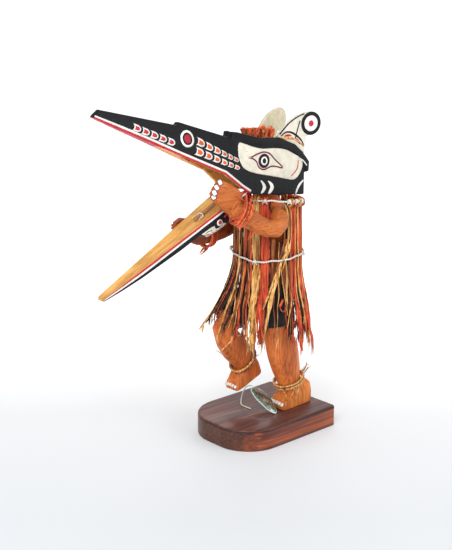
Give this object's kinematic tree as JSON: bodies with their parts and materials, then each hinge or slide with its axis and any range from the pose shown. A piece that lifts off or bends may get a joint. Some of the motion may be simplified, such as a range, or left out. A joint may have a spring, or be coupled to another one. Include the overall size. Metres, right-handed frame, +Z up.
{
  "type": "carved masked figure",
  "caption": "Carved dancer standing on one leg on a wooden plinth, in a long-beaked bird mask with a lowered lower beak, bark fringe and twine ties",
  "frame": {"origin": "Centre of the plinth's underside", "axes": "+Z up, the figure faces -Y toward the plinth's round end, +X is the figure's left, the side nearest the picture's camera"},
  "size_m": [0.1416, 0.383, 0.4996],
  "materials": {
    "plinth_wood": "stained and varnished",
    "carved_wood": "oiled, knife-finished",
    "painted_wood": "painted, satin",
    "pale_wood": "painted cream",
    "strap_leather": "matte",
    "twine": "waxed cotton",
    "red_bark": "dry shredded bark",
    "gold_bark": "dry shredded bark",
    "black_cloth": "felted",
    "shell": "nacre"
  },
  "bodies": {
    "root": {"plinth": "plinth_wood", "body": "carved_wood", "arm_left": "carved_wood", "arm_right": "carved_wood", "mask": "painted_wood", "mask_jaw": "painted_wood", "crest_left": "pale_wood", "crest_right": "pale_wood", "jaw_strap": "strap_leather", "jaw_string": "twine", "bark_bunch_front": "red_bark", "bark_bunch_rear": "red_bark", "collar_twine": "twine", "waist_twine": "twine", "wrist_tie_left": "red_bark", "wrist_tie_right": "red_bark", "ankle_tie_left": "gold_bark", "ankle_tie_right": "gold_bark", "shorts": "black_cloth", "shell": "shell", "shell_string": "twine", "fringe_front_1": "gold_bark", "fringe_front_2": "gold_bark", "fringe_front_3": "red_bark", "fringe_front_4": "gold_bark", "fringe_front_5": "red_bark", "fringe_front_6": "red_bark", "fringe_front_7": "gold_bark", "fringe_front_8": "red_bark", "fringe_left_1": "gold_bark", "fringe_left_2": "red_bark", "fringe_left_3": "gold_bark", "fringe_left_4": "red_bark", "fringe_left_5": "red_bark", "fringe_back_1": "gold_bark", "fringe_back_2": "red_bark", "fringe_back_3": "gold_bark", "fringe_back_4": "red_bark", "fringe_back_5": "gold_bark", "fringe_back_6": "red_bark", "fringe_back_7": "gold_bark", "fringe_right_1": "red_bark", "fringe_right_2": "gold_bark", "fringe_right_3": "red_bark", "fringe_left_low_1": "red_bark", "fringe_left_low_2": "red_bark", "fringe_left_low_3": "gold_bark", "fringe_right_low_0": "gold_bark", "fringe_right_low_1": "red_bark", "fringe_right_low_2": "gold_bark", "fringe_right_low_3": "red_bark"}
  },
  "joints": []
}
